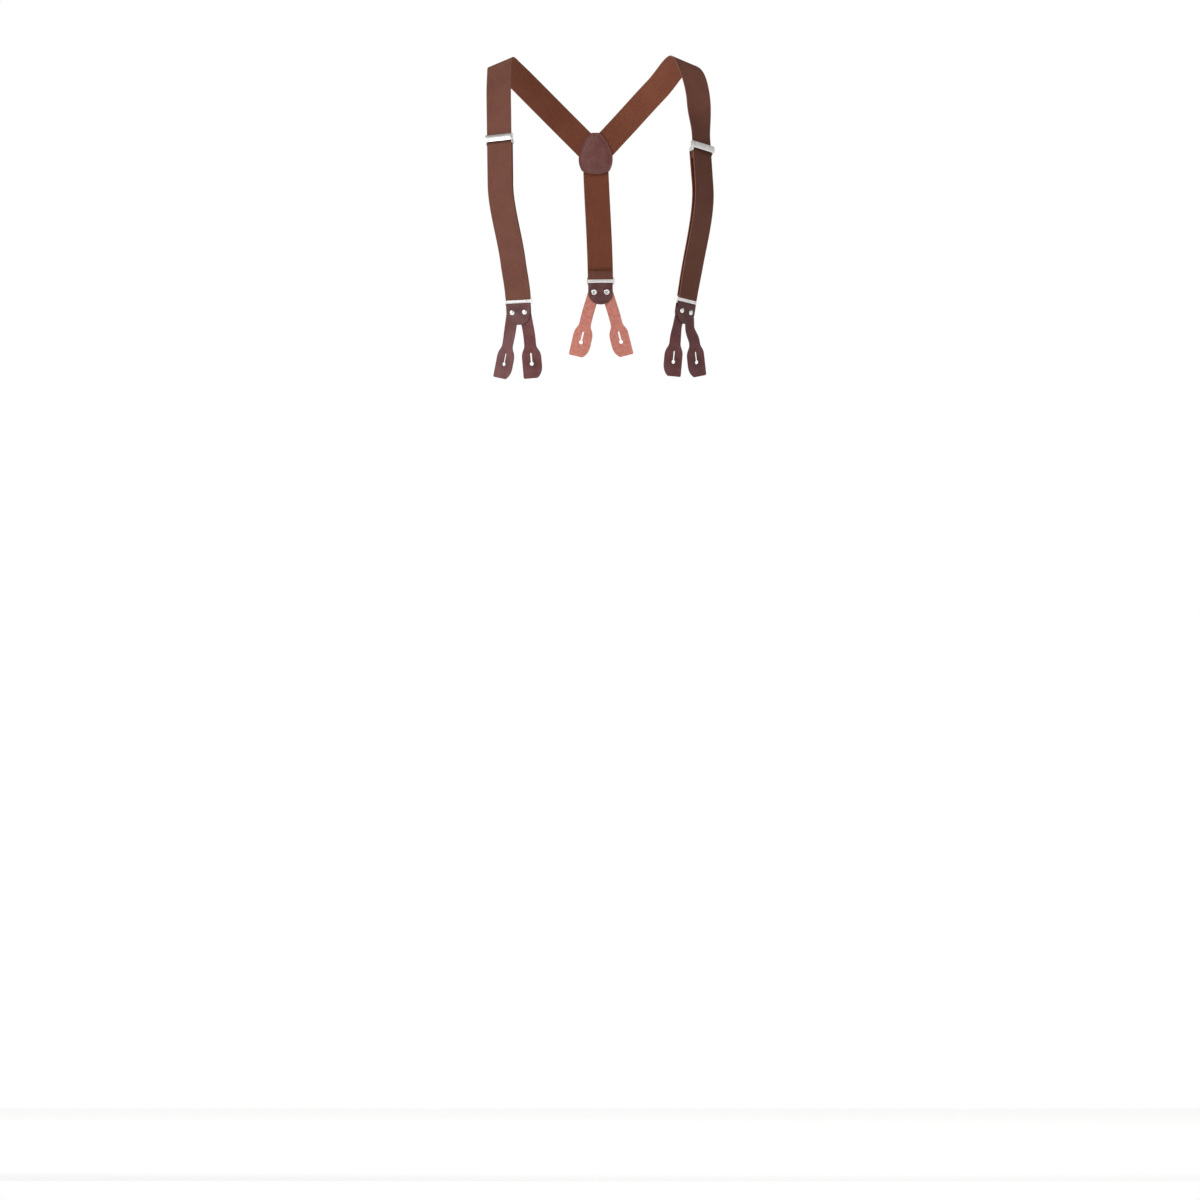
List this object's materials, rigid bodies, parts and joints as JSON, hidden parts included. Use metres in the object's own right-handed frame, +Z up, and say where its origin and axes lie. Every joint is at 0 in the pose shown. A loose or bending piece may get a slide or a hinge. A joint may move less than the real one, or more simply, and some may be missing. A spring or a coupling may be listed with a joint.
{
  "type": "button-on suspenders",
  "caption": "Y-back suspenders of elastic webbing with a leather back patch, cam adjusters, metal end loops and riveted leather button legs",
  "frame": {"origin": "midway between the shoulders, at the height of the strap crests", "axes": "+Z up, -Y to the wearer's front, +X to the wearer's left, as the suspenders hang when worn"},
  "size_m": [0.3184, 0.2024, 0.4475],
  "materials": {
    "webbing": "ribbed elastic webbing, matt",
    "grained_leather": "fine pebble grain, low sheen",
    "leg_leather": "smooth grain outside, bare flesh side inside",
    "nickel": "bright nickel plate"
  },
  "bodies": {
    "harness": {"strap_left": "webbing", "strap_right": "webbing", "strap_back": "webbing", "patch_inner": "grained_leather", "patch_outer": "grained_leather"},
    "adjuster_left": {"adjuster_frame_left": "nickel", "lever_pin_left": "nickel", "strap_return_left": "webbing"},
    "lever_left": {"adjuster_lever_left": "nickel"},
    "strap_end_left": {"strap_bight_left": "webbing"},
    "loop_left": {"end_loop_left": "nickel"},
    "tab_left": {"keeper_left": "grained_leather", "rivet_front_left_outer": "nickel", "rivet_front_left_inner": "nickel"},
    "leg_body_front_left_outer": {"leg_front_left_outer": "leg_leather"},
    "leg_body_front_left_inner": {"leg_front_left_inner": "leg_leather"},
    "adjuster_right": {"adjuster_frame_right": "nickel", "lever_pin_right": "nickel", "strap_return_right": "webbing"},
    "lever_right": {"adjuster_lever_right": "nickel"},
    "strap_end_right": {"strap_bight_right": "webbing"},
    "loop_right": {"end_loop_right": "nickel"},
    "tab_right": {"keeper_right": "grained_leather", "rivet_front_right_inner": "nickel", "rivet_front_right_outer": "nickel"},
    "leg_body_front_right_inner": {"leg_front_right_inner": "leg_leather"},
    "leg_body_front_right_outer": {"leg_front_right_outer": "leg_leather"},
    "loop_back": {"end_loop_back": "nickel"},
    "tab_back": {"keeper_back": "grained_leather", "rivet_back_left": "nickel", "rivet_back_right": "nickel"},
    "leg_body_back_left": {"leg_back_left": "leg_leather"},
    "leg_body_back_right": {"leg_back_right": "leg_leather"}
  },
  "joints": [
    {"name": "adjuster_slide_left", "type": "slide", "parent": "harness", "child": "adjuster_left", "axis": [-0.013, 0.3714, 0.9284], "range_m": [-0.045, 0.04], "deforming": ["strap_return_left"]},
    {"name": "lever_hinge_left", "type": "hinge", "parent": "adjuster_left", "child": "lever_left", "pos_m": [-0.13972, -0.07397, -0.1101], "axis": [-0.9668, 0.2321, -0.1064], "range_deg": [0, 100]},
    {"name": "strap_end_slide_left", "type": "slide", "parent": "adjuster_left", "child": "strap_end_left", "axis": [0.021, 0.6543, 0.7559], "range_m": [-0.0229, 0.0257], "deforming": ["strap_bight_left"]},
    {"name": "loop_hinge_left", "type": "hinge", "parent": "strap_end_left", "child": "loop_left", "pos_m": [-0.11288, -0.09604, -0.33498], "axis": [0.977, -0.2078, 0.0489], "range_deg": [-45, 15]},
    {"name": "tab_hinge_left", "type": "hinge", "parent": "loop_left", "child": "tab_left", "pos_m": [-0.11241, -0.09604, -0.34457], "axis": [0.977, -0.2078, 0.0489], "range_deg": [-60, 60]},
    {"name": "leg_swivel_front_left_outer", "type": "hinge", "parent": "tab_left", "child": "leg_body_front_left_outer", "pos_m": [-0.12046, -0.09423, -0.35488], "axis": [-0.2075, -0.9782, -0.0104], "range_deg": [-18, 4]},
    {"name": "leg_swivel_front_left_inner", "type": "hinge", "parent": "tab_left", "child": "leg_body_front_left_inner", "pos_m": [-0.10336, -0.09786, -0.35403], "axis": [-0.2075, -0.9782, -0.0104], "range_deg": [-4, 18]},
    {"name": "adjuster_slide_right", "type": "slide", "parent": "harness", "child": "adjuster_right", "axis": [-0.0617, 0.3707, 0.9267], "range_m": [-0.045, 0.012], "deforming": ["strap_return_right"]},
    {"name": "lever_hinge_right", "type": "hinge", "parent": "adjuster_right", "child": "lever_right", "pos_m": [0.14221, -0.07144, -0.12288], "axis": [-0.7198, -0.6598, 0.216], "range_deg": [0, 100]},
    {"name": "strap_end_slide_right", "type": "slide", "parent": "adjuster_right", "child": "strap_end_right", "axis": [-0.2432, 0.5879, 0.7715], "range_m": [-0.0069, 0.0255], "deforming": ["strap_bight_right"]},
    {"name": "loop_hinge_right", "type": "hinge", "parent": "strap_end_right", "child": "loop_right", "pos_m": [0.11988, -0.0896, -0.3339], "axis": [0.6877, 0.7077, -0.1622], "range_deg": [-45, 15]},
    {"name": "tab_hinge_right", "type": "hinge", "parent": "loop_right", "child": "tab_right", "pos_m": [0.11844, -0.09036, -0.34336], "axis": [0.6877, 0.7077, -0.1622], "range_deg": [-60, 60]},
    {"name": "leg_swivel_front_right_inner", "type": "hinge", "parent": "tab_right", "child": "leg_body_front_right_inner", "pos_m": [0.11094, -0.09735, -0.35169], "axis": [0.7103, -0.702, -0.0512], "range_deg": [-18, 6]},
    {"name": "leg_swivel_front_right_outer", "type": "hinge", "parent": "tab_right", "child": "leg_body_front_right_outer", "pos_m": [0.12297, -0.08496, -0.35453], "axis": [0.7103, -0.702, -0.0512], "range_deg": [-10, 10]},
    {"name": "loop_hinge_back", "type": "hinge", "parent": "harness", "child": "loop_back", "pos_m": [0.0005, 0.088, -0.3055], "axis": [-0.9999, 0, -0.01], "range_deg": [-45, 45]},
    {"name": "tab_hinge_back", "type": "hinge", "parent": "loop_back", "child": "tab_back", "pos_m": [0.0006, 0.088, -0.3151], "axis": [-0.9999, 0, -0.01], "range_deg": [-60, 60]},
    {"name": "leg_swivel_back_left", "type": "hinge", "parent": "tab_back", "child": "leg_body_back_left", "pos_m": [-0.00805, 0.088, -0.32509], "axis": [0, 1, 0], "range_deg": [-12, 8]},
    {"name": "leg_swivel_back_right", "type": "hinge", "parent": "tab_back", "child": "leg_body_back_right", "pos_m": [0.00945, 0.088, -0.32491], "axis": [0, 1, 0], "range_deg": [-8, 12]}
  ],
  "couplings": [
    {"joint": "strap_end_slide_left", "follows": "adjuster_slide_left", "ratio": -0.56755},
    {"joint": "strap_end_slide_right", "follows": "adjuster_slide_right", "ratio": -0.5625}
  ]
}
